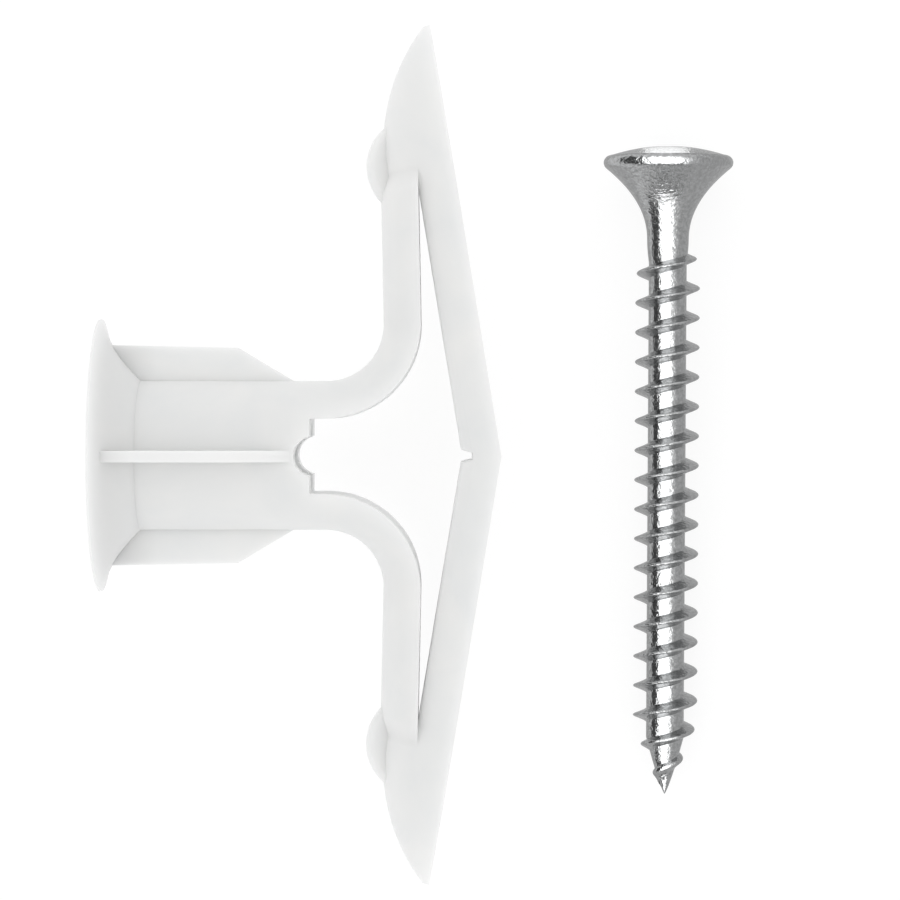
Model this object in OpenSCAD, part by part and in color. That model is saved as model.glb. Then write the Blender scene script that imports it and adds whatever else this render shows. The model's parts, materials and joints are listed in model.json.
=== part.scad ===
// Folding toggle anchor for plasterboard and hollow doors, with its screw.
// The anchor is one plastic moulding: a thin collar, a finned sleeve, and two wings that fold
// forward for the drilled hole and spring open behind the board. It lies as it comes to rest on
// a table, on its collar rim and one arm, and its screw lies beside it.

/* [Collar] */
// Across the rim of the collar that stops on the face of the board
collar_d = 14.8; // [13:0.1:19]
// Thickness of the collar at its rim
collar_rim_t = 0.1; // [0.05:0.05:0.4]
// How far the hollow-curved back of the collar runs along the sleeve
collar_slope = 2.1; // [1.4:0.1:2.6]

/* [Sleeve] */
// Outside of the sleeve, which is the size of the drilled hole
sleeve_d = 8.1; // [7:0.1:9.8]
// Back edge of the collar rim to the end of the sleeve
sleeve_len = 11.4; // [9:0.1:12.5]
// Bore that the screw passes through
bore_d = 3.9; // [3.6:0.1:4.7]
// Mouth of the countersink in the collar
sink_d = 7.2; // [6:0.1:8.8]
// Radius of the cross groove that takes the hinge when the wings are folded
groove_r = 1.05; // [0.85:0.05:1.25]
// Depth of that groove in the end of the sleeve
groove_depth = 0.85; // [0.6:0.05:1]

/* [Fins] */
// Across the fins where they leave the collar
fin_d = 12; // [10:0.1:12.8]
// Across the fins where their taper starts
fin_end_d = 11.7; // [9.6:0.1:12.8]
// Thickness of a fin
fin_t = 0.6; // [0.4:0.05:0.8]
// Length of a fin before its taper
fin_straight = 7.4; // [5:0.1:8.9]
// Full length of a fin with its taper
fin_len = 10.5; // [9:0.1:11.3]

/* [Legs] */
// Thickness of a leg
leg_t = 2.05; // [1.7:0.05:2.5]
// Inside radius of the elbow where a leg turns outward
elbow_r = 3.1; // [2.5:0.05:3.7]
// Back edge of the collar rim to the centre of the elbow
elbow_reach = 12.2; // [11.6:0.05:12.7]
// Lean of a leg toward the collar, in degrees
leg_lean = 1.2; // [0:0.1:3]
// Radius of the round grip nub on the back of a leg
nub_r = 2.7; // [2.2:0.1:3.2]
// How far the nub stands out of the leg
nub_rise = 0.75; // [0.5:0.05:1]
// Width of the nub across the leg
nub_w = 2.2; // [1.4:0.1:3]
// Radius of the nub's edges
nub_edge_r = 0.5; // [0.2:0.05:0.6]

/* [Arms] */
// Thickness of an arm
arm_t = 2.05; // [1.7:0.05:2.4]
// Back edge of the collar rim to the hinge corner between the arms
hinge_reach = 21.65; // [20.8:0.05:22.6]
// Axis to the point where a leg and its arm run into one
fork_height = 14.4; // [12:0.1:16.5]
// Axis to the tip of a wing
wing_height = 23.35; // [21:0.05:28]
// Largest radius of the bullet nose that two folded wings make
nose_r = 3.7; // [3.2:0.05:4]
// Radius of the curve from that nose to its tip
nose_curve_r = 10.8; // [9:0.1:13]
// Radius of the blunt end of the tip
tip_r = 0.39; // [0.3:0.01:0.6]

/* [Hinge] */
// Depth of the groove in the hinge corner, which leaves the plastic thin enough to flex
hinge_depth = 0.55; // [0.4:0.05:0.8]
// Width of the hinge groove at its mouth
hinge_mouth = 0.75; // [0.6:0.05:1]
// Width of the hinge groove at its bottom
hinge_root = 0.44; // [0.3:0.02:0.54]
// Pilot hole through the hinge, which the screw cuts its thread in
pilot_d = 2.4; // [2.1:0.1:3]

/* [Screw] */
// Rim of the head to the point
screw_len = 34.3; // [29:0.1:42]
// Across the crests of the thread
thread_d = 3.5; // [3.1:0.1:3.9]
// Across the core between the threads
core_d = 2.05; // [1.7:0.05:2.45]
// Distance from one thread to the next
pitch = 1.6; // [1.3:0.05:1.95]
// Thickness of a thread at its root
thread_root_t = 0.66; // [0.5:0.02:0.8]
// Thickness of a thread at its crest
thread_crest_t = 0.08; // [0.05:0.01:0.12]
// Across the plain neck, where the thread isn't rolled
neck_d = 2.25; // [2:0.05:2.9]
// Rim of the head to where the thread runs out
neck_len = 4.5; // [3.7:0.1:6.2]
// Length over which the point tapers
point_len = 3.9; // [3.2:0.1:4.7]

/* [Screw head] */
// Across the rim of the raised countersunk head
head_d = 7; // [5.8:0.1:8.4]
// Radius of the rounded rim
rim_r = 0.4; // [0.3:0.05:0.5]
// Rise of the domed top above the rounded rim
dome_rise = 0.5; // [0.3:0.05:0.7]
// Rim of the head to where its hollow underside has swept in to the neck
flare_len = 4.2; // [3.4:0.1:5.1]
// Across the cross recess
recess_d = 3.6; // [3:0.1:4]
// Depth of the cross recess
recess_depth = 1.9; // [1.5:0.1:2.2]
// Width of one slot of the cross recess
recess_slot = 0.8; // [0.6:0.05:1]

/* [Layout] */
// Clear space on the table between the anchor's hinge and the screw's head
screw_gap = 5.45; // [4:0.05:9]
// How far the middle of the screw lies toward the wing that is held up
screw_shift = -1.3; // [-3:0.1:3]
// Turn of the screw on the table, with its head away from the anchor, in degrees
screw_turn = 0.7; // [0:0.1:3]

/* [Hidden] */
$fn = 96;
// Small step that keeps two skins from lying in one, and how far a cut runs past what it opens.
eps = 0.01;
over = 1;
// Reach of the blocks that keep one half or one stretch of a wing.
far = 60;
// Points along each hand-shaped curve.
steps = 12;

collar_r = collar_d / 2;
sleeve_r = sleeve_d / 2;
bore_r = bore_d / 2;
collar_power = 1.6;

// A fin stands on the middle of the sleeve's wall, and its toe ends just under the skin.
wall_middle = (bore_r + sleeve_r) / 2;
toe_sink = 0.05;

// The legs turn outward from the skin of the sleeve, so the elbow clears it by its own radius.
elbow_height = sleeve_r + elbow_r;

// Fork between leg and arm, on the inner face of the leg.
fork_x = elbow_reach + (elbow_r + leg_t) / cos(leg_lean)
       - (fork_height - elbow_height) * tan(leg_lean);
// An arm runs from the hinge corner so that its inner face passes through the fork.
fork_run = norm([hinge_reach - fork_x, fork_height]);
arm_lean = atan2(hinge_reach - fork_x, fork_height) - asin(arm_t / fork_run);
arm_len = wing_height / cos(arm_lean);

// Nose: an arc that leaves the bullet's side smoothly and ends on the blunt tip.
nose_len = sqrt(pow(nose_curve_r, 2) - pow(nose_curve_r - nose_r + tip_r, 2));
// Shoulder that narrows a leg to the nose, wide enough at its start to clear the leg's back.
shoulder_len = 1.6;
shoulder_r = nose_r + 0.75;

// The nub sits on the leg where the nose starts, and is rooted well inside the leg.
leg_len = (wing_height - elbow_height) / cos(leg_lean);
nub_along = leg_len - nose_len;
nub_root = 0.6 * leg_t;
// A leg is a hair fuller than its elbow and laps its end, so that the two fuse cleanly.
lap = 0.05;

// Resting pose. The table touches the collar rim and lies all along the lower edge of one arm.
// Its normal is (pose_a, pose_b, 1): square to that edge, and as far below the middle of the
// collar as below the hinge corner, which gives a quadratic in pose_a.
edge_slope = tan(arm_lean);
pose_q = pow(hinge_reach, 2) - pow(collar_r * edge_slope, 2);
pose_a = (nose_r * hinge_reach - sqrt(pow(nose_r * hinge_reach, 2)
       + pose_q * (pow(collar_r, 2) - pow(nose_r, 2)))) / pose_q;
pose_b = -pose_a * edge_slope;
roll = atan(pose_b);
tilt = atan(-pose_a / norm([pose_b, 1]));
axis_height = collar_r * cos(tilt);

// The screw lies on its head rim and on the last full thread before its point.
head_r = head_d / 2;
thread_r = thread_d / 2;
core_r = core_d / 2;
screw_tilt = atan((head_r - thread_r) / (screw_len - point_len));
screw_height = head_r * cos(screw_tilt) - screw_len / 2 * sin(screw_tilt);

// The origin lies on the table under the middle of everything.
left_end = -collar_rim_t * cos(tilt) - collar_r * sin(tilt);
screw_x = hinge_reach * cos(tilt) + screw_gap + head_r;
right_end = screw_x + screw_len / 2 * sin(screw_turn) + head_r * cos(screw_turn);
middle_x = (left_end + right_end) / 2;

// Thread: steps in one turn, where the crest starts and ends, and how fast it runs out at the neck.
// Counted from the point, step 0 is where the full thread starts, with its crest on the table.
turn_steps = 20;
rest_turn = 90;
thread_start = 0.4;
thread_end = screw_len - neck_len;
runout = 0.55 * pitch;
first_step = ceil((thread_start - point_len) / pitch * turn_steps);
// One more turn with no crest carries the core up inside the neck.
last_step = floor((thread_end - point_len) / pitch * turn_steps) + turn_steps;
neck_r = neck_d / 2;
// The point's sides bulge by this power, and its core is full before its crest is.
point_power = 0.8;
core_point_len = 0.8 * point_len;

// What is left of the thread at a height above the point: 1, and 0 once it has run out.
function left_at(z) = min(1, max(0, (thread_end - z) / runout));
function core_at(z) = core_r * pow(min(1, z / core_point_len), point_power)
                    + (neck_r - eps - core_r) * (1 - left_at(z));
function crest_at(z) =
    let (full = thread_r * pow(min(1, z / point_len), point_power))
    core_at(z) + (full - core_at(z)) * left_at(z);
// Outline of one thread at its own height z: root, two crest corners, root.
function thread_row(z) = [
    [core_at(z - thread_root_t / 2), z - thread_root_t / 2],
    [crest_at(z), z - thread_crest_t / 2],
    [crest_at(z), z + thread_crest_t / 2],
    [core_at(z + thread_root_t / 2), z + thread_root_t / 2],
];

// Hollow underside of the head, from the end of the rounded rim (t = 0) to the neck (t = 1).
rim_turn = 50;
flare_power = 2.15;
flare_top_r = head_r - rim_r + rim_r * cos(rim_turn);
flare_top_z = rim_r * sin(rim_turn);
function flare_at(t) = [
    neck_r + (flare_top_r - neck_r) * pow(1 - t, flare_power),
    screw_len - flare_top_z - t * (flare_len - flare_top_z),
];

module along_axis(from, to, r) {
    translate([from, 0, 0]) rotate([0, 90, 0]) cylinder(r = r, h = to - from);
}

module collar() {
    back = [for (i = [0:steps]) let (t = i / steps)
        [collar_r - t * (collar_r - sleeve_r), collar_slope * pow(t, collar_power)]];
    rotate([0, 90, 0]) rotate_extrude()
        polygon(concat([[0, -collar_rim_t], [collar_r, -collar_rim_t]], back, [[0, collar_slope]]));
}

module fins() {
    for (turn = [0:90:270])
        rotate([turn, 0, 0])
            translate([0, 0, -fin_t / 2])
                linear_extrude(height = fin_t)
                    polygon([
                        [0, wall_middle], [0, fin_d / 2], [fin_straight, fin_end_d / 2],
                        [fin_len, sleeve_r - toe_sink], [fin_len, wall_middle],
                    ]);
}

// Section of a leg: an outer slice of the sleeve's round, measured from the elbow's centre.
module leg_section(skin = 0) {
    intersection() {
        translate([elbow_r + sleeve_r, 0]) circle(r = sleeve_r + skin);
        translate([elbow_r - skin, -sleeve_r]) square([leg_t + 2 * skin, sleeve_d]);
    }
}

// Frame of an arm: y runs from the hinge corner to the tip, along the arm's flat outer face.
module arm_frame() {
    translate([hinge_reach, 0, 0]) rotate([0, 0, arm_lean]) children();
}

module nose_outline() {
    intersection() {
        translate([nose_r - nose_curve_r, arm_len - nose_len]) circle(r = nose_curve_r, $fn = 240);
        translate([0, arm_len - nose_len]) square([nose_r, nose_len]);
    }
}

// Turned about the arm's outer face, which is the middle of the bar that two folded arms make.
module turned_on_arm() {
    arm_frame() rotate([-90, 0, 0]) rotate_extrude() children();
}

module arm() {
    intersection() {
        turned_on_arm() {
            nose_outline();
            translate([0, -arm_t]) square([nose_r, arm_len - nose_len + arm_t]);
        }
        arm_frame()
            translate([-arm_t, -arm_t, -nose_r])
                cube([arm_t, arm_len + 2 * arm_t, 2 * nose_r]);
    }
}

// Frame of a leg: y runs from the elbow's centre along the leg, and x toward the arm.
module leg_frame() {
    translate([elbow_reach, elbow_height, 0]) rotate([0, 0, leg_lean]) children();
}

module leg() {
    intersection() {
        along_axis(0, elbow_reach, sleeve_r);
        translate([sleeve_len - over, sleeve_r - leg_t, -sleeve_r])
            cube([elbow_reach - sleeve_len + over, leg_t, sleeve_d]);
    }
    translate([elbow_reach, elbow_height, 0])
        rotate([0, 0, -90])
            rotate_extrude(angle = 90 + leg_lean) leg_section();
    // The straight leg runs into the nose, past a short shoulder, and ends on the nose's curve.
    intersection() {
        leg_frame() translate([0, -lap, 0]) rotate([-90, 0, 0])
            linear_extrude(height = leg_len + lap) leg_section(eps);
        turned_on_arm() {
            nose_outline();
            polygon([
                [0, -far], [far, -far], [far, arm_len - nose_len - shoulder_len],
                [shoulder_r, arm_len - nose_len - shoulder_len],
                [nose_r, arm_len - nose_len], [0, arm_len - nose_len],
            ]);
        }
    }
}

// Round pad with soft edges on the back of the leg, narrower than the leg, which grips the board.
module nub_outline() {
    translate([0, -nub_w / 2]) square([nub_r - nub_edge_r, nub_w]);
    translate([0, nub_edge_r - nub_w / 2]) square([nub_r, nub_w - 2 * nub_edge_r]);
    for (side = [-1, 1])
        translate([nub_r - nub_edge_r, side * (nub_w / 2 - nub_edge_r)]) circle(r = nub_edge_r);
}

module nub() {
    leg_frame() intersection() {
        translate([elbow_r - nub_rise + nub_r, nub_along, 0]) rotate_extrude() nub_outline();
        translate([0, nub_along - nub_r, -nub_w]) cube([elbow_r + nub_root, 2 * nub_r, 2 * nub_w]);
    }
}

module wing() {
    intersection() {
        union() {
            leg();
            nub();
            arm();
        }
        translate([-far, 0, -far]) cube([2 * far, far, 2 * far]);
    }
}

// Hinge corner: a groove with a round bottom, and the pilot hole.
module hinge_cuts() {
    inner_x = hinge_reach - arm_t / cos(arm_lean);
    root_x = inner_x + hinge_depth - hinge_root / 2;
    root_y = hinge_root / 2;
    // The groove's sides go on at their own slope past its mouth.
    past_x = inner_x - over;
    past_y = root_y + (hinge_mouth / 2 - root_y) * (root_x - past_x) / (root_x - inner_x);
    translate([0, 0, -sleeve_r])
        linear_extrude(height = sleeve_d) {
            polygon([[past_x, -past_y], [root_x, -root_y], [root_x, root_y], [past_x, past_y]]);
            translate([root_x, 0]) circle(r = root_y);
        }
    along_axis(inner_x - over, hinge_reach + over, pilot_d / 2);
}

module toggle_body() {
    color([0.90, 0.90, 0.89])
        translate([-middle_x, 0, axis_height])
            rotate([roll, tilt, 0])
                difference() {
                    union() {
                        collar();
                        along_axis(0, sleeve_len, sleeve_r);
                        fins();
                        wing();
                        mirror([0, 1, 0]) wing();
                    }
                    along_axis(-over, sleeve_len + over, bore_r);
                    translate([-collar_rim_t, 0, 0]) rotate([0, 90, 0])
                        cylinder(r1 = sink_d / 2, r2 = bore_r, h = (sink_d - bore_d) / 2);
                    translate([sleeve_len - groove_depth + groove_r, 0, -sleeve_r - over])
                        cylinder(r = groove_r, h = sleeve_d + 2 * over);
                    hinge_cuts();
                }
}

// One winding surface of core and thread from the point to the neck.
module thread() {
    rows = [for (i = [first_step:last_step])
        let (row = thread_row(point_len + pitch * i / turn_steps))
        let (turn = rest_turn + 360 * i / turn_steps)
        for (p = row) [p[0] * cos(turn), p[0] * sin(turn), p[1]]];
    count = last_step - first_step + 1;
    turn_rows = 4 * turn_steps;
    low = len(rows);
    high = low + 1;
    points = concat(rows, [[0, 0, 0], [0, 0, thread_end + pitch + over]]);
    flanks = [for (i = [0:count - 2]) for (j = [0:2])
        [4 * i + j, 4 * i + j + 1, 4 * i + j + 5, 4 * i + j + 4]];
    cores = [for (i = [0:count - 2 - turn_steps])
        [4 * i + 3, 4 * i + turn_rows, 4 * i + turn_rows + 4, 4 * i + 7]];
    low_fan = [for (i = [0:turn_steps - 1]) [4 * i, 4 * i + 4, low]];
    high_fan = [for (i = [count - 1 - turn_steps:count - 2]) [4 * i + 3, high, 4 * i + 7]];
    low_end = [low, turn_rows, 3, 2, 1, 0];
    last = 4 * (count - 1);
    high_end = [high, last + 3 - turn_rows, last, last + 1, last + 2, last + 3];
    polyhedron(points = points, faces = concat(flanks, cores, low_fan, high_fan,
        [low_end, high_end]), convexity = 20);
}

module head() {
    neck_end = screw_len - max(neck_len, flare_len + eps);
    under = [for (i = [0:steps]) flare_at(1 - i / steps)];
    rim = [for (i = [1:steps]) let (turn = -rim_turn + i / steps * (90 + rim_turn))
        [head_r - rim_r + rim_r * cos(turn), screw_len + rim_r * sin(turn)]];
    dome = [for (i = [1:steps]) let (t = 1 - i / steps)
        [(head_r - rim_r) * t, screw_len + rim_r + dome_rise * (1 - t * t)]];
    rotate_extrude()
        polygon(concat([[0, neck_end], [neck_r, neck_end]], under, rim, dome));
}

module recess() {
    translate([0, 0, screw_len + rim_r + dome_rise - recess_depth])
        intersection() {
            cylinder(r1 = recess_slot / 2, r2 = recess_d / 2, h = recess_depth + eps);
            for (turn = [0, 90])
                rotate([0, 0, turn])
                    translate([-recess_d / 2, -recess_slot / 2, 0])
                        cube([recess_d, recess_slot, recess_depth + over]);
        }
}

module screw() {
    color([0.72, 0.73, 0.75])
        translate([screw_x - middle_x, screw_shift, screw_height])
            rotate([screw_tilt, 0, -screw_turn])
                translate([0, -screw_len / 2, 0])
                    rotate([-90, 0, 0])
                        difference() {
                            union() {
                                thread();
                                head();
                            }
                            recess();
                        }
}

toggle_body();
screw();
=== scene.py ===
import json
import math

import bmesh
import bpy
from mathutils import Euler, Matrix, Vector


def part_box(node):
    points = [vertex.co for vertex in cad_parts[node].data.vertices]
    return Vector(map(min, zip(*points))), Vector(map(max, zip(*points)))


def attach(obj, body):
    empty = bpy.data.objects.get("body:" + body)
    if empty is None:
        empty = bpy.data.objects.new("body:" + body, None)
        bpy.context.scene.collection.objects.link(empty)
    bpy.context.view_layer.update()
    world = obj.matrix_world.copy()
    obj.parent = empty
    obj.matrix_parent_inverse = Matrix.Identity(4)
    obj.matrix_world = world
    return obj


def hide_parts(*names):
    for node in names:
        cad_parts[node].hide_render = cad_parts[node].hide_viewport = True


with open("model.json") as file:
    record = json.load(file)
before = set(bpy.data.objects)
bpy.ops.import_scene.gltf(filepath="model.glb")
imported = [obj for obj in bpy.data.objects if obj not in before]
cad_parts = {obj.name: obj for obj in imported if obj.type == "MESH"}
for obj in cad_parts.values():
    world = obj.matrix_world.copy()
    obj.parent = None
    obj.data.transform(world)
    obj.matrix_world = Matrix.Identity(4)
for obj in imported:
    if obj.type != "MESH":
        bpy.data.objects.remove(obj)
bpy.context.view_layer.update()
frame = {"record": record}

# ---- Camera ----
# A small product lens that looks almost straight down on the table, leaning a little toward the
# anchor's hinge, so that the anchor and its screw are seen from their side.

mm = 0.001
field_of_view = 16.294
nearest_seen = 10 * mm
camera_distance = 171.04 * mm
lean_up = 0.957
lean_to_hinge = 9.618
roll = 0.055
collar_to_middle = 19.99 * mm
looked_at_y = 0.302 * mm
looked_at_z = 4.12 * mm

scene = bpy.context.scene
anchor_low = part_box("toggle_body")[0]
camera_data = bpy.data.cameras.new("camera")
camera = bpy.data.objects.new("camera", camera_data)
scene.collection.objects.link(camera)
scene.camera = camera
camera_data.angle = math.radians(field_of_view)
camera_data.clip_start = nearest_seen
camera_turn = Euler((math.radians(lean_up), math.radians(lean_to_hinge), math.radians(roll)), "ZXY")
looked_at = Vector((anchor_low[0] + collar_to_middle, looked_at_y, looked_at_z))
camera.rotation_mode = "ZXY"
camera.rotation_euler = camera_turn
camera.location = looked_at + camera_turn.to_matrix() @ Vector((0, 0, camera_distance))

# ---- Floor and light ----
# White paper on a light table, in an evenly white room. Two softboxes over it light bare metal
# alone, and grey cards, which only reflections show, give the metal its darker bands.

scene.view_settings.view_transform = "Standard"


def linear(hex_colour):
    """Turn an sRGB hex colour into the linear RGBA that shaders work in."""
    parts = [int(hex_colour[i:i + 2], 16) / 255 for i in (1, 3, 5)]
    return [p / 12.92 if p <= 0.04045 else ((p + 0.055) / 1.055) ** 2.4 for p in parts] + [1.0]


def add_node(tree, kind, inputs=None, **settings):
    """Add one node, set its own choices, and give each input a value or the socket that feeds it."""
    node = tree.nodes.new(kind)
    for name, value in settings.items():
        setattr(node, name, value)
    for name, value in (inputs or {}).items():
        if isinstance(value, bpy.types.NodeSocket):
            tree.links.new(value, node.inputs[name])
        else:
            node.inputs[name].default_value = value
    return node


def seen_directly(tree):
    """1 for the rays that show the background: the camera's, and those off metal or through glass."""
    path = add_node(tree, "ShaderNodeLightPath")
    camera_or_gloss = add_node(tree, "ShaderNodeMath", {
        0: path.outputs["Is Camera Ray"], 1: path.outputs["Is Glossy Ray"],
    }, operation="ADD", use_clamp=True)
    return add_node(tree, "ShaderNodeMath", {
        0: camera_or_gloss.outputs[0], 1: path.outputs["Is Transmission Ray"],
    }, operation="ADD", use_clamp=True).outputs[0]


# The room's walls light the object a little more than its ceiling, as a light tent does.
wall_level = 1.06
ceiling_level = 0.94
room = bpy.data.worlds.new("white_room")
scene.world = room
room.use_nodes = True
room.node_tree.nodes.clear()
room_place = add_node(room.node_tree, "ShaderNodeTexCoord")
room_split = add_node(room.node_tree, "ShaderNodeSeparateXYZ", {
    "Vector": room_place.outputs["Generated"],
})
room_level = add_node(room.node_tree, "ShaderNodeMapRange", {
    "Value": room_split.outputs["Z"], "To Min": wall_level, "To Max": ceiling_level,
})
room_strength = add_node(room.node_tree, "ShaderNodeMix", {
    "Factor": seen_directly(room.node_tree), "A": room_level.outputs["Result"], "B": 1.0,
})
room_light = add_node(room.node_tree, "ShaderNodeBackground", {
    "Color": (1, 1, 1, 1), "Strength": room_strength.outputs["Result"],
})
add_node(room.node_tree, "ShaderNodeOutputWorld", {"Surface": room_light.outputs[0]})

# The light table under the paper lights the object from below, nearly as much as the room does
# from above. What shows of the paper is white, and takes a shadow on a fifth of its white.
paper_albedo = 0.1
paper_shadowed = 0.2
paper_seen_level = 1.04
table_level = 0.9
floor_size = 2
floor_drop = 0.02 * mm
paper = bpy.data.materials.new("matt_white_paper")
paper.use_nodes = True
paper.node_tree.nodes.clear()
paper_seen = seen_directly(paper.node_tree)
paper_white = add_node(paper.node_tree, "ShaderNodeMath", {
    0: paper_seen, 1: paper_shadowed - paper_albedo, 2: paper_albedo,
}, operation="MULTIPLY_ADD")
paper_matt = add_node(paper.node_tree, "ShaderNodeBsdfDiffuse", {"Color": paper_white.outputs[0]})
paper_lift = add_node(paper.node_tree, "ShaderNodeMath", {
    0: paper_seen, 1: paper_seen_level - paper_shadowed - table_level, 2: table_level,
}, operation="MULTIPLY_ADD")
paper_glow = add_node(paper.node_tree, "ShaderNodeEmission", {"Strength": paper_lift.outputs[0]})
paper_both = add_node(paper.node_tree, "ShaderNodeAddShader", {
    0: paper_matt.outputs[0], 1: paper_glow.outputs[0],
})
add_node(paper.node_tree, "ShaderNodeOutputMaterial", {"Surface": paper_both.outputs[0]})

bpy.ops.object.select_all(action="DESELECT")
bpy.ops.mesh.primitive_plane_add(size=floor_size, location=(0, 0, -floor_drop))
floor = bpy.context.active_object
floor.name = "floor"
floor.data.materials.append(paper)

# The softboxes light what is in this collection alone.
bare_metal = bpy.data.collections.new("bare_metal")


def add_softbox(name, size, place, radiance):
    """A flat lamp that faces the origin and shows in bare metal, as bright as its radiance says."""
    lamp = bpy.data.lights.new(name, "AREA")
    lamp.shape = "RECTANGLE"
    lamp.size, lamp.size_y = size
    lamp.energy = radiance * math.pi * size[0] * size[1]
    softbox = bpy.data.objects.new(name, lamp)
    scene.collection.objects.link(softbox)
    softbox.location = place
    softbox.rotation_euler = Vector(place).to_track_quat("Z", "Y").to_euler()
    softbox.visible_camera = False
    softbox.visible_diffuse = False
    softbox.light_linking.receiver_collection = bare_metal


add_softbox("gloss_softbox", (0.85, 0.9), (-0.075, 0, 0.46), 2.4)
add_softbox("point_softbox", (0.5, 0.3), (0, -0.42, 0.33), 2.0)


def add_card(name, corners, grey):
    """A grey card that only reflections show."""
    tone = bpy.data.materials.new(name)
    tone.use_nodes = True
    tone.node_tree.nodes.clear()
    glow = add_node(tone.node_tree, "ShaderNodeEmission", {"Color": (grey, grey, grey, 1)})
    add_node(tone.node_tree, "ShaderNodeOutputMaterial", {"Surface": glow.outputs[0]})
    sheet = bpy.data.meshes.new(name)
    sheet.from_pydata(corners, [], [(0, 1, 2, 3)])
    sheet.materials.append(tone)
    card = bpy.data.objects.new(name, sheet)
    scene.collection.objects.link(card)
    card.visible_camera = False
    card.visible_diffuse = False
    card.visible_shadow = False
    card.visible_transmission = False


def card_beside(side, low, high, reach=0.3, half=0.4):
    """Corners of an upright card to one side in x, between two angles above the table."""
    z_low = reach * math.tan(math.radians(low))
    z_high = reach * math.tan(math.radians(high))
    x = side * reach
    return [(x, -half, z_low), (x, half, z_low), (x, half, z_high), (x, -half, z_high)]


def card_before(y, half, height):
    """Corners of an upright card that crosses the screw's line at y."""
    return [(-half, y, 0), (half, y, 0), (half, y, height), (-half, y, height)]


def card_flat(x_low, x_high, y_low, y_high, z=0.0):
    """Corners of a card that lies flat."""
    return [(x_low, y_low, z), (x_high, y_low, z), (x_high, y_high, z), (x_low, y_high, z)]


add_card("dark_card_left", card_beside(-1, 0, 53), 0.05)
add_card("bright_card_right", card_beside(1, 40, 48), 1.1)
add_card("soft_card_right", card_beside(1, 32, 40), 0.85)
add_card("mid_card_right", card_beside(1, 20, 32), 0.68)
add_card("dark_card_right", card_beside(1, 15, 20), 0.42)
add_card("light_card_right", card_beside(1, 0, 15), 0.66)
add_card("dark_card_point", card_before(-0.3, 0.2, 0.11), 0.2)
add_card("floor_card_right", card_flat(0.0135, 0.3, -0.06, 0.06), 0.62)
add_card("floor_card_left", card_flat(0.004, 0.0135, -0.06, 0.06), 0.62)
add_card("floor_card_head", card_flat(0.0122, 0.0152, 0.0185, 0.0255, 0.05 * mm), 1.8)

# ---- Anchor ----
# The toggle anchor is one injection moulding of natural polypropylene: collar, finned sleeve,
# legs and wings in a single shot. Its thin elbows and grooved corner are the living hinges.

# One half is modelled, lying along x, and mirrored. All its sizes are in mm.
sleeve_r = 4.05
sleeve_length = 11.4
bore_r = 1.95
collar_r = 7.4
collar_rim = 0.098
collar_slope = 2.1
sink_r = 3.6
leg_thick = 2.05
elbow_r = 3.1
elbow_x = 12.2
elbow_y = sleeve_r + elbow_r
leg_lean = math.radians(1.2)
arm_thick = 2.05
corner_x = 21.65
wing_height = 23.345
fork_height = 14.4
nose_r = 3.7
nose_curve_r = 10.8
tip_r = 0.39

# Round parts have this many sides, which keeps their corners clear of the arm's cut edges.
turns = 92
# Vertices this close are one, and faces that turn less than this are one plane.
same_place = 0.001 * mm
same_after_cut = 0.004 * mm
same_plane = math.radians(0.5)
# Cutting blocks and drills run this far past the middle, which is clear of the sleeve.
cutter_half = 5


def draw_outline(name, points):
    """Draw an outline through points in mm by extruding one vertex from each to the next."""
    bpy.ops.object.select_all(action="DESELECT")
    bpy.ops.mesh.primitive_plane_add(size=mm)
    drawn = bpy.context.active_object
    drawn.name = name
    bpy.ops.object.mode_set(mode="EDIT")
    bpy.context.tool_settings.mesh_select_mode = (True, False, False)
    bpy.ops.mesh.merge(type="CENTER")
    bpy.ops.transform.translate(value=Vector(points[0]) * mm)
    for start, end in zip(points, points[1:]):
        step = (Vector(end) - Vector(start)) * mm
        bpy.ops.mesh.extrude_region_move(TRANSFORM_OT_translate={"value": step})
    bpy.ops.mesh.select_all(action="SELECT")
    bpy.ops.mesh.remove_doubles(threshold=same_place)
    return drawn


def spin_round(axis):
    """Spin the outline in edit mode all the way round an axis through the origin, and close it."""
    bpy.ops.mesh.spin(steps=turns, angle=2 * math.pi, center=(0, 0, 0), axis=axis)
    bpy.ops.mesh.select_all(action="SELECT")
    bpy.ops.mesh.remove_doubles(threshold=same_place)
    bpy.ops.mesh.normals_make_consistent(inside=False)
    bpy.ops.object.mode_set(mode="OBJECT")


def extrude_outline(step):
    """Fill the closed outline in edit mode and extrude it by a step in mm."""
    bpy.ops.mesh.edge_face_add()
    bpy.ops.mesh.extrude_region_move(TRANSFORM_OT_translate={"value": Vector(step) * mm})
    bpy.ops.mesh.select_all(action="SELECT")
    bpy.ops.mesh.normals_make_consistent(inside=False)
    bpy.ops.object.mode_set(mode="OBJECT")


def bisect(piece, point, away):
    """Cut a piece with a plane through a point in mm, drop the side it faces, and fill the cut."""
    bpy.context.view_layer.objects.active = piece
    bpy.ops.object.mode_set(mode="EDIT")
    bpy.ops.mesh.select_all(action="SELECT")
    bpy.ops.mesh.bisect(plane_co=Vector(point) * mm, plane_no=away, use_fill=True,
                        clear_outer=True, threshold=same_place)
    bpy.ops.object.mode_set(mode="OBJECT")


def put(piece, point, turn=0.0):
    """Turn a piece about z, then move it to a point in mm, and apply both."""
    bpy.ops.object.select_all(action="DESELECT")
    piece.select_set(True)
    bpy.context.view_layer.objects.active = piece
    piece.rotation_euler.z = turn
    piece.location = Vector(point) * mm
    bpy.ops.object.transform_apply()


def combine(piece, other, operation):
    """Join, cut or keep the common part of two solids, in the first of them."""
    bpy.context.view_layer.objects.active = piece
    change = piece.modifiers.new("combine", "BOOLEAN")
    change.operation = operation
    change.solver = "EXACT"
    change.object = other
    bpy.ops.object.modifier_apply(modifier=change.name)
    bpy.data.objects.remove(other)


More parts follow.
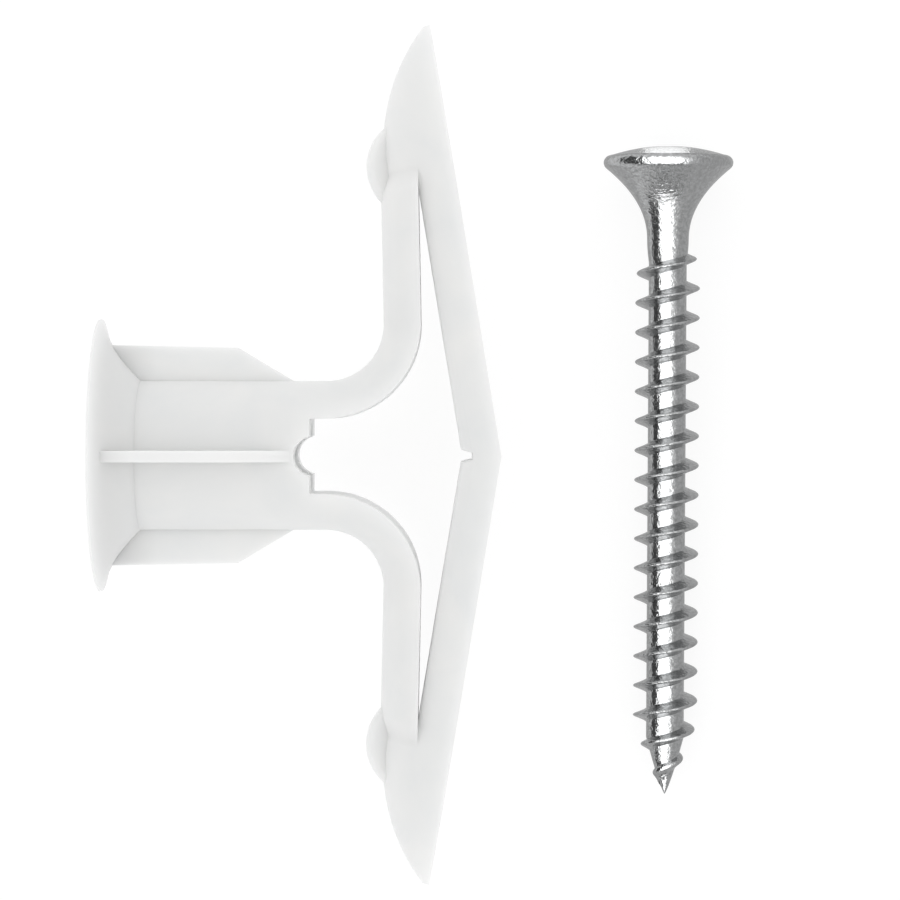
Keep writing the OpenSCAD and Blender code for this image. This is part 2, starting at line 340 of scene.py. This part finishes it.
# Collar, sleeve, bore and countersink are turned in one. The sleeve runs on to where the elbows
# start, and what lies between the two legs there is cut away.
collar_steps = 12
collar_curve = 1.6
outline = [(elbow_x, bore_r), (elbow_x, sleeve_r)]
for i in range(collar_steps + 1):
    t = 1 - i / collar_steps
    outline.append((collar_slope * t ** collar_curve, collar_r - t * (collar_r - sleeve_r)))
outline += [(-collar_rim, collar_r), (-collar_rim, sink_r), (sink_r - bore_r - collar_rim, bore_r),
            (elbow_x, bore_r)]
anchor = draw_outline("anchor_moulding", [(x, 0, z) for x, z in outline])
spin_round((1, 0, 0))

# Four thin fins, whose tapered ends die into the sleeve.
fin_half = 0.3
fin_root_r = 4.0
fin_inside_r = 3.0
fin_length = 10.5
fin_outline = [(0, fin_root_r), (0, 6.0), (7.4, 5.85), (fin_length, fin_root_r),
               (fin_length, fin_inside_r), (0, fin_root_r)]
for quarter in range(4):
    fin = draw_outline("fin", [(x, -fin_half, z) for x, z in fin_outline])
    extrude_outline((0, 2 * fin_half, 0))
    fin.rotation_euler.x = quarter * math.pi / 2
    put(fin, (0, 0, 0))
    combine(anchor, fin, "UNION")

fork_half = sleeve_r - leg_thick
fork_length = 2
fork_outline = [(sleeve_length, -fork_half), (sleeve_length + fork_length, -fork_half),
                (sleeve_length + fork_length, fork_half), (sleeve_length, fork_half),
                (sleeve_length, -fork_half)]
fork = draw_outline("fork_block", [(x, y, -cutter_half) for x, y in fork_outline])
extrude_outline((0, 0, 2 * cutter_half))
combine(anchor, fork, "DIFFERENCE")

bisect(anchor, (0, 0, 0), (0, -1, 0))

# The elbow is the leg's end face swept round, and the leg is the same face run on.
elbow_steps = 24
lean_sine = math.sin(leg_lean)
lean_cosine = math.cos(leg_lean)
leg_length = (wing_height - elbow_y) / lean_cosine
bpy.context.view_layer.objects.active = anchor
bpy.ops.object.mode_set(mode="EDIT")
bpy.ops.mesh.select_all(action="SELECT")
bpy.ops.mesh.dissolve_limited(angle_limit=same_plane)
bpy.ops.mesh.select_all(action="DESELECT")
bpy.context.tool_settings.mesh_select_mode = (False, False, True)
form = bmesh.from_edit_mesh(anchor.data)
for face in form.faces:
    face.select = face.normal.x > 0.9 and face.calc_center_median().x > (elbow_x - 0.1) * mm
bmesh.update_edit_mesh(anchor.data)
bpy.ops.mesh.spin(steps=elbow_steps, angle=-(math.pi / 2 + leg_lean),
                  center=(elbow_x * mm, elbow_y * mm, 0), axis=(0, 0, 1))
bpy.ops.mesh.extrude_region_move(TRANSFORM_OT_translate={
    "value": Vector((-lean_sine, lean_cosine, 0)) * leg_length * mm})
bpy.ops.mesh.select_all(action="SELECT")
bpy.ops.mesh.normals_make_consistent(inside=False)
bpy.ops.object.mode_set(mode="OBJECT")
bpy.context.tool_settings.mesh_select_mode = (True, False, False)

# The arm is a slice of a round bar, whose middle is the arm's outer face.
fork_x = (elbow_x + (elbow_r + leg_thick) / lean_cosine
          - (fork_height - elbow_y) * math.tan(leg_lean))
fork_run = math.hypot(corner_x - fork_x, fork_height)
arm_lean = math.atan2(corner_x - fork_x, fork_height) - math.asin(arm_thick / fork_run)
arm_length = wing_height / math.cos(arm_lean)
bpy.ops.object.select_all(action="DESELECT")
bpy.ops.mesh.primitive_cylinder_add(vertices=turns, radius=nose_r * mm,
                                    depth=(arm_length + 2 * arm_thick) * mm,
                                    rotation=(math.radians(-90), 0, 0))
arm = bpy.context.active_object
put(arm, (0, arm_length / 2, 0))
bisect(arm, (0, 0, 0), (1, 0, 0))
bisect(arm, (-arm_thick, 0, 0), (-1, 0, 0))
put(arm, (corner_x, 0, 0), arm_lean)
bisect(arm, (0, 0, 0), (0, -1, 0))
combine(anchor, arm, "UNION")

# Both end in half of a bullet nose, which is turned about the arm's outer face. What is kept
# widens to a shoulder below the nose, so that the sleeve and collar stay whole.
nose_length = math.sqrt(nose_curve_r ** 2 - (nose_curve_r - nose_r + tip_r) ** 2)
nose_low = arm_length - nose_length
nose_steps = 24
shoulder_low = nose_low - 1.6
shoulder_r = nose_r + 0.75
clear_r = 30
outline = [(0, -clear_r), (clear_r, -clear_r), (clear_r, shoulder_low), (shoulder_r, shoulder_low)]
for i in range(nose_steps + 1):
    rise = nose_length * i / nose_steps
    outline.append((nose_r - nose_curve_r + math.sqrt(nose_curve_r ** 2 - rise ** 2),
                    nose_low + rise))
outline += [(0, arm_length)]
nose = draw_outline("bullet_nose", [(x, y, 0) for x, y in outline])
spin_round((0, 1, 0))
put(nose, (corner_x, 0, 0), arm_lean)
combine(anchor, nose, "INTERSECT")

# A round pad with soft edges grips the board behind the leg. It is rooted inside the leg.
nub_r = 2.7
nub_rise = 0.75
nub_half = 1.1
nub_edge_r = 0.5
nub_edge_steps = 8
nub_root = 0.6
nub_x = elbow_r - nub_rise + nub_r
nub_y = leg_length - nose_length
outline = [(0, -nub_half)]
for i in range(nub_edge_steps + 1):
    turn = math.radians(i / nub_edge_steps * 90)
    outline.append((nub_r - nub_edge_r + nub_edge_r * math.sin(turn),
                    -nub_half + nub_edge_r - nub_edge_r * math.cos(turn)))
outline += [(x, -z) for x, z in reversed(outline)]
nub = draw_outline("grip_nub", [(x, 0, z) for x, z in outline])
spin_round((0, 0, 1))
bisect(nub, (leg_thick * nub_root + elbow_r - nub_x, 0, 0), (1, 0, 0))
put(nub, (elbow_x + nub_x * lean_cosine - nub_y * lean_sine,
          elbow_y + nub_x * lean_sine + nub_y * lean_cosine, 0), leg_lean)
combine(anchor, nub, "UNION")

# The half is opened along the middle and mirrored.
bpy.context.view_layer.objects.active = anchor
bpy.ops.object.mode_set(mode="EDIT")
bpy.ops.mesh.select_all(action="SELECT")
bpy.ops.mesh.remove_doubles(threshold=same_after_cut)
bpy.ops.mesh.select_all(action="DESELECT")
bpy.context.tool_settings.mesh_select_mode = (False, False, True)
form = bmesh.from_edit_mesh(anchor.data)
for face in form.faces:
    face.select = face.normal.y < -0.99 and abs(face.calc_center_median().y) < same_place
bmesh.update_edit_mesh(anchor.data)
bpy.ops.mesh.delete(type="FACE")
bpy.ops.object.mode_set(mode="OBJECT")
mirror = anchor.modifiers.new("other_half", "MIRROR")
mirror.use_axis = (False, True, False)
mirror.use_clip = True
mirror.merge_threshold = same_after_cut
bpy.ops.object.modifier_apply(modifier=mirror.name)

# A half-round groove across the sleeve's end takes the hinge corner of the folded wings.
groove_r = 1.05
groove_depth = 0.85
bpy.ops.object.select_all(action="DESELECT")
bpy.ops.mesh.primitive_cylinder_add(vertices=turns, radius=groove_r * mm,
                                    depth=2 * cutter_half * mm)
groove = bpy.context.active_object
put(groove, (sleeve_length - groove_depth + groove_r, 0, 0), math.pi / turns)
combine(anchor, groove, "DIFFERENCE")

# Hinge corner: a narrow groove with a flat bottom, and the pilot hole for the screw.
hinge_depth = 0.55
hinge_mouth = 0.325
hinge_floor = 0.18
pilot_r = 1.2
inner_x = corner_x - arm_thick / math.cos(arm_lean)
floor_x = inner_x + hinge_depth
past = 1.0
past_y = hinge_floor + (hinge_mouth - hinge_floor) * (hinge_depth + past) / hinge_depth
outline = [(inner_x - past, past_y), (inner_x - past, -past_y), (floor_x, -hinge_floor),
           (floor_x, hinge_floor), (inner_x - past, past_y)]
hinge = draw_outline("hinge_groove", [(x, y, -cutter_half) for x, y in outline])
extrude_outline((0, 0, 2 * cutter_half))
combine(anchor, hinge, "DIFFERENCE")
bpy.ops.object.select_all(action="DESELECT")
bpy.ops.mesh.primitive_cylinder_add(vertices=turns, radius=pilot_r * mm,
                                    depth=2 * cutter_half * mm,
                                    rotation=(0, math.radians(90), 0))
pilot = bpy.context.active_object
put(pilot, (corner_x, 0, 0))
combine(anchor, pilot, "DIFFERENCE")

# Its sharp outer edges take a fine radius. The collar's rim, the sleeve's end, the pilot hole,
# the hinge groove's floor, the wing tips and the nubs' seats are too thin or too small for one.
edge_radius = 0.09
edge_segments = 3
edge_turn = 33
# How far those places reach, along the sleeve's axis and out from it.
collar_high = 0.8
sleeve_end_low = 10
nub_seat_r = nub_r + 0.4
nub_seat_high = elbow_x + elbow_r + 0.6
tip_length = 0.4
room = 0.1
bpy.ops.object.select_all(action="DESELECT")
anchor.select_set(True)
bpy.context.view_layer.objects.active = anchor
bpy.ops.object.mode_set(mode="EDIT")
bpy.ops.mesh.select_all(action="SELECT")
bpy.ops.mesh.remove_doubles(threshold=same_after_cut)
bpy.ops.mesh.dissolve_limited(angle_limit=same_plane)
bpy.context.tool_settings.mesh_select_mode = (False, True, False)
bpy.ops.mesh.select_all(action="DESELECT")
form = bmesh.from_edit_mesh(anchor.data)


def keeps_sharp(point):
    """Where the moulding has no room for a rounded edge."""
    out = abs(point.y)
    on_collar = point.x < collar_high
    at_sleeve_end = sleeve_end_low < point.x < elbow_x + room / 2 and out < fork_half + room
    at_pilot = math.hypot(point.y, point.z) < pilot_r + room
    at_hinge = point.x > floor_x - room / 10 and out < hinge_floor + room / 10
    at_nub = abs(out - nub_y - elbow_y) < nub_seat_r and point.x < nub_seat_high
    at_tip = out > wing_height - tip_length
    return on_collar or at_sleeve_end or at_pilot or at_hinge or at_nub or at_tip


for edge in form.edges:
    sharp = math.degrees(edge.calc_face_angle_signed(0)) > edge_turn
    edge.select = sharp and not any(keeps_sharp(vertex.co / mm) for vertex in edge.verts)
bmesh.update_edit_mesh(anchor.data)
bpy.ops.mesh.bevel(offset=edge_radius * mm, segments=edge_segments, profile=0.5, affect="EDGES",
                   clamp_overlap=False, miter_outer="ARC", loop_slide=True)
bpy.ops.object.mode_set(mode="OBJECT")
smooth_turn = math.radians(32)
bpy.ops.object.shade_smooth_by_angle(angle=smooth_turn)
even = anchor.modifiers.new("even_shading", "WEIGHTED_NORMAL")
even.mode = "FACE_AREA"
even.keep_sharp = True
bpy.ops.object.modifier_apply(modifier=even.name)

# The moulding lies on the table as the CAD one does, on its collar's rim and one arm's edge.
mounts = {mount["name"]: mount for mount in frame["record"]["mounts"]}
bore = mounts["collar_bore"]
# The bore's mount is this far from the collar's face.
bore_middle = 6.0
along = -Vector(bore["axis"])
above = Vector(mounts["fixture_face"]["pos_m"]) - Vector(bore["pos_m"])
above = (above - along * above.dot(along)).normalized()
lying = Matrix((along, above.cross(along), above)).transposed()
collar_place = Vector(bore["pos_m"]) - along * bore_middle * mm
bpy.ops.object.select_all(action="DESELECT")
anchor.select_set(True)
bpy.context.view_layer.objects.active = anchor
anchor.rotation_euler = lying.to_euler()
anchor.location = collar_place
bpy.ops.object.transform_apply()
anchor.visible_glossy = False

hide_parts("toggle_body")
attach(anchor, "root")

# Natural polypropylene, moulded: milky white, lets some light in, satin where the tool was
# polished, with faint flow marks a few mm apart. It looks flat and pale, with soft edges.
flow_mark = 4.545 * mm
skin_grain = 0.4 * mm
light_depth = 0.85 * mm
plastic = bpy.data.materials.new("natural_polypropylene_moulded")
plastic.use_nodes = True
tree = plastic.node_tree
tree.nodes.clear()
place = add_node(tree, "ShaderNodeTexCoord")
flow = add_node(tree, "ShaderNodeTexNoise", {
    "Vector": place.outputs["Object"], "Scale": 1 / flow_mark, "Detail": 4.0,
    "Roughness": 0.55, "Distortion": 0.6,
})
milk = add_node(tree, "ShaderNodeValToRGB", {"Fac": flow.outputs["Fac"]})
milk.color_ramp.elements[0].position = 0.3
milk.color_ramp.elements[0].color = linear("#E6E7E7")
milk.color_ramp.elements[1].position = 0.7
milk.color_ramp.elements[1].color = linear("#EBEBEA")
# Painted shade: the base colour is greyed toward the collar's rim, so that the thin collar renders
# darker than the thick parts.
collar_shade_full = -1.0 * mm
collar_shade_gone = 3.0 * mm
split = add_node(tree, "ShaderNodeSeparateXYZ", {"Vector": place.outputs["Object"]})
collar_shade_part = add_node(tree, "ShaderNodeMapRange", {
    "Value": split.outputs["X"], "From Min": collar_place.x + collar_shade_full,
    "From Max": collar_place.x + collar_shade_gone, "To Min": 1.0, "To Max": 0.0,
})
collar_painted_shade = add_node(tree, "ShaderNodeMix", {
    "Factor": collar_shade_part.outputs["Result"], "A": milk.outputs["Color"], "B": linear("#CCCCCC"),
}, data_type="RGBA")
skin = add_node(tree, "ShaderNodeTexNoise", {
    "Vector": place.outputs["Object"], "Scale": 1 / skin_grain, "Detail": 3.0,
})
skin_bump = add_node(tree, "ShaderNodeBump", {
    "Height": skin.outputs["Fac"], "Strength": 0.12, "Distance": 0.01 * mm,
})
satin = add_node(tree, "ShaderNodeMapRange", {
    "Value": flow.outputs["Fac"], "To Min": 0.36, "To Max": 0.46,
})
body = add_node(tree, "ShaderNodeBsdfPrincipled", {
    "Base Color": collar_painted_shade.outputs["Result"], "Roughness": satin.outputs["Result"],
    "Normal": skin_bump.outputs["Normal"], "IOR": 1.49, "Specular IOR Level": 0.25,
    "Subsurface Weight": 1.0, "Subsurface Radius": (1.0, 1.0, 1.0),
    "Subsurface Scale": light_depth,
})
add_node(tree, "ShaderNodeOutputMaterial", {"Surface": body.outputs[0]})
anchor.data.materials.clear()
anchor.data.materials.append(plastic)

# ---- Screw ----
# A 3.5 x 35 chipboard screw: the wire blank is cold headed with its cross recess, the thread is
# rolled on, and the whole is case hardened and zinc plated. It is modelled standing on its point.

head_top = 35.2
blank_core_r = 1.025
blank_neck_r = 1.125
point_full = 3.12
point_curve = 0.8
shank_end = 28.9
swell_height = 29.4
swell = 0.06
neck_low = 29.8
neck_step = 0.01
flare_low = 30.1
flare_curve = 2.15
rim_height = 34.3
rim_r = 0.4
head_r = 3.5
rim_turn = math.radians(50)
flare_steps = 22
rim_steps = 10
dome_steps = 10

point_heights = [0.0, 0.04, 0.12, 0.25, 0.45, 0.7, 1.0, 1.4, 1.8, 2.3, 2.8]
outline = [(blank_core_r * (z / point_full) ** point_curve, z) for z in point_heights]
outline += [(blank_core_r, point_full), (blank_core_r, shank_end),
            (blank_core_r + swell, swell_height), (blank_neck_r - neck_step, neck_low)]
flare_r = head_r - rim_r + rim_r * math.cos(rim_turn)
flare_high = rim_height - rim_r * math.sin(rim_turn)
for i in range(flare_steps + 1):
    t = i / flare_steps
    outline.append((blank_neck_r + (flare_r - blank_neck_r) * t ** flare_curve,
                    flare_low + t * (flare_high - flare_low)))
for i in range(1, rim_steps + 1):
    turn = -rim_turn + i / rim_steps * (math.pi / 2 + rim_turn)
    outline.append((head_r - rim_r + rim_r * math.cos(turn), rim_height + rim_r * math.sin(turn)))
dome_rise = head_top - rim_height - rim_r
for i in range(1, dome_steps + 1):
    t = 1 - i / dome_steps
    outline.append(((head_r - rim_r) * t, rim_height + rim_r + dome_rise * (1 - t * t)))
screw = draw_outline("screw_steel", [(r, 0, z) for r, z in outline])
spin_round((0, 0, 1))

# Rolled thread: its section is drawn once, wound up the shank, and thinned at both ends.
pitch = 1.6
thread_turns = 18
thread_low = 0.75
turn_steps = 64
thread_r = 1.75
thread_half = [(0.80, 0.46), (1.00, 0.40), (1.06, 0.34), (1.20, 0.27), (1.40, 0.19), (1.58, 0.125),
               (1.68, 0.085), (1.73, 0.045)]
section = [(r, -z) for r, z in thread_half] + [(thread_r, 0)]
section += [(r, z) for r, z in reversed(thread_half)]
section_points = len(section)
section.append(section[0])
ridge = draw_outline("rolled_thread", [(r, 0, z) for r, z in section])
bpy.ops.object.mode_set(mode="OBJECT")
winding = ridge.modifiers.new("winding", "SCREW")
winding.axis = "Z"
winding.angle = 2 * math.pi
winding.screw_offset = pitch * mm
winding.iterations = thread_turns
winding.steps = turn_steps
winding.render_steps = turn_steps
winding.use_smooth_shade = False
bpy.ops.object.modifier_apply(modifier=winding.name)

bpy.ops.object.mode_set(mode="EDIT")
bpy.ops.mesh.select_all(action="DESELECT")
bpy.ops.mesh.select_non_manifold()
bpy.ops.mesh.edge_face_add()
bpy.ops.mesh.select_all(action="SELECT")
bpy.ops.mesh.normals_make_consistent(inside=False)
bpy.ops.object.mode_set(mode="OBJECT")

# The crest of one turn meets the table at the height where the full thread starts.
full_thread = 3.9
ridge.location.z = thread_low * mm
ridge.rotation_euler.z = math.radians(90 + (thread_low - full_thread) / pitch * 360)
bpy.ops.object.transform_apply()

thread_high = 29.6
thread_growth = 0.8
start_fullness = 0.45
start_run = 0.8
end_fullness = 0.55
end_rise = 0.75
last_turns_fullness = 0.86
last_turns_rise = 0.08
point_thickness = -0.25
neck_thickness = 0.4


def thread_fullness(z):
    """How far the thread stands out at a height: it grows from the point and runs out at the neck."""
    growing = min(1, (z / full_thread) ** thread_growth)
    starting = min(1, start_fullness + (z - thread_low) / start_run)
    running_out = min(1, end_fullness + (thread_high - z) * end_rise,
                      last_turns_fullness + (thread_high - z) * last_turns_rise)
    return growing * starting * running_out


# The low thread at the point is thick for its height, and the last turns are thin.
bpy.context.tool_settings.mesh_select_mode = (True, False, False)
bpy.ops.object.mode_set(mode="EDIT")
form = bmesh.from_edit_mesh(ridge.data)
for step in range(thread_turns * turn_steps + 1):
    z = thread_low + pitch * step / turn_steps
    fullness = thread_fullness(z)
    thickness = fullness ** (neck_thickness if z > full_thread else point_thickness)
    if fullness < 1:
        bpy.ops.mesh.select_all(action="DESELECT")
        form.verts.ensure_lookup_table()
        for vertex in form.verts[step * section_points:(step + 1) * section_points]:
            vertex.select = True
        bpy.ops.transform.resize(value=(fullness, fullness, thickness),
                                 center_override=(0, 0, z * mm))
bpy.ops.object.mode_set(mode="OBJECT")

# The driver recess is a cross of two tapered slots round a blunt cone.
recess_d = 3.6
recess_depth = 1.9
recess_slot = 0.8
slot_floor_length = 0.16
slot_floor_width = 0.62
cone_low_r = 0.38
cone_high_r = 1.62
cone_rise = 0.06
cone_sides = 32
cutters = []
for turn in (0, 90):
    bpy.ops.object.select_all(action="DESELECT")
    bpy.ops.mesh.primitive_cube_add(size=mm)
    slot = bpy.context.active_object
    slot.name = "recess_slot"
    slot.scale = (recess_d, recess_slot, 2 * recess_depth)
    slot.location = (0, 0, head_top * mm)
    bpy.ops.object.transform_apply()
    bpy.ops.object.mode_set(mode="EDIT")
    bpy.ops.mesh.select_all(action="DESELECT")
    bpy.context.tool_settings.mesh_select_mode = (False, False, True)
    form = bmesh.from_edit_mesh(slot.data)
    for face in form.faces:
        face.select = face.normal.z < -0.5
    bpy.ops.transform.resize(value=(slot_floor_length, slot_floor_width, 1))
    bpy.ops.object.mode_set(mode="OBJECT")
    slot.rotation_euler.z = math.radians(turn)
    bpy.ops.object.transform_apply()
    cutters.append(slot)
bpy.ops.object.select_all(action="DESELECT")
bpy.ops.mesh.primitive_cone_add(vertices=cone_sides, radius1=cone_low_r * mm,
                                radius2=cone_high_r * mm, depth=2 * recess_depth * mm,
                                location=(0, 0, (head_top + cone_rise) * mm))
cutters.append(bpy.context.active_object)

combine(screw, ridge, "UNION")
for cutter in cutters:
    combine(screw, cutter, "DIFFERENCE")

bpy.ops.object.select_all(action="DESELECT")
screw.select_set(True)
bpy.ops.object.mode_set(mode="EDIT")
bpy.ops.mesh.select_all(action="SELECT")
bpy.ops.mesh.remove_doubles(threshold=2 * same_place)
bpy.ops.object.mode_set(mode="OBJECT")

# The screw lies where the table holds it, on its head rim and its last full turn.
recess = mounts["driver_recess"]
screw_axis = Vector(recess["axis"])
screw_x = screw_axis.cross(Vector((0, 0, 1))).normalized()
screw_y = screw_axis.cross(screw_x)
lying = Matrix((screw_x, screw_y, screw_axis)).transposed()
screw.rotation_euler = lying.to_euler()
screw.location = Vector(recess["pos_m"]) - screw_axis * head_top * mm
bpy.ops.object.transform_apply()
smooth_turn = math.radians(42)
bpy.ops.object.shade_smooth_by_angle(angle=smooth_turn)
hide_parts("screw")
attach(screw, "root")
bare_metal.objects.link(screw)

# Bright zinc plating over rolled steel: silver grey, glossy, and finely mottled by the crystals
# of the zinc, so that its highlights break up at their edges. The crystals are finer on the real
# screw, and are drawn about 0.2 mm across so that they show.
crystal = 0.1923 * mm
dent = 0.7692 * mm
zinc = bpy.data.materials.new("bright_zinc_plated_steel")
zinc.use_nodes = True
tree = zinc.node_tree
tree.nodes.clear()
place = add_node(tree, "ShaderNodeTexCoord")
crystals = add_node(tree, "ShaderNodeTexNoise", {
    "Vector": place.outputs["Object"], "Scale": 1 / crystal, "Detail": 2.0, "Roughness": 0.6,
})
dents = add_node(tree, "ShaderNodeTexNoise", {
    "Vector": place.outputs["Object"], "Scale": 1 / dent, "Detail": 2.0,
})
fine_bump = add_node(tree, "ShaderNodeBump", {
    "Height": crystals.outputs["Fac"], "Strength": 1.0, "Distance": 0.038 * mm,
})
coarse_bump = add_node(tree, "ShaderNodeBump", {
    "Height": dents.outputs["Fac"], "Strength": 1.0, "Distance": 0.02 * mm,
    "Normal": fine_bump.outputs["Normal"],
})
tint = add_node(tree, "ShaderNodeValToRGB", {"Fac": crystals.outputs["Fac"]})
tint.color_ramp.elements[0].position = 0.35
tint.color_ramp.elements[0].color = linear("#A5A6A6")
tint.color_ramp.elements[1].position = 0.65
tint.color_ramp.elements[1].color = linear("#B7B8B9")
gloss = add_node(tree, "ShaderNodeMapRange", {
    "Value": dents.outputs["Fac"], "To Min": 0.14, "To Max": 0.26,
})
metal = add_node(tree, "ShaderNodeBsdfPrincipled", {
    "Base Color": tint.outputs["Color"], "Metallic": 1.0, "Roughness": gloss.outputs["Result"],
    "Normal": coarse_bump.outputs["Normal"],
})
add_node(tree, "ShaderNodeOutputMaterial", {"Surface": metal.outputs[0]})
screw.data.materials.clear()
screw.data.materials.append(zinc)
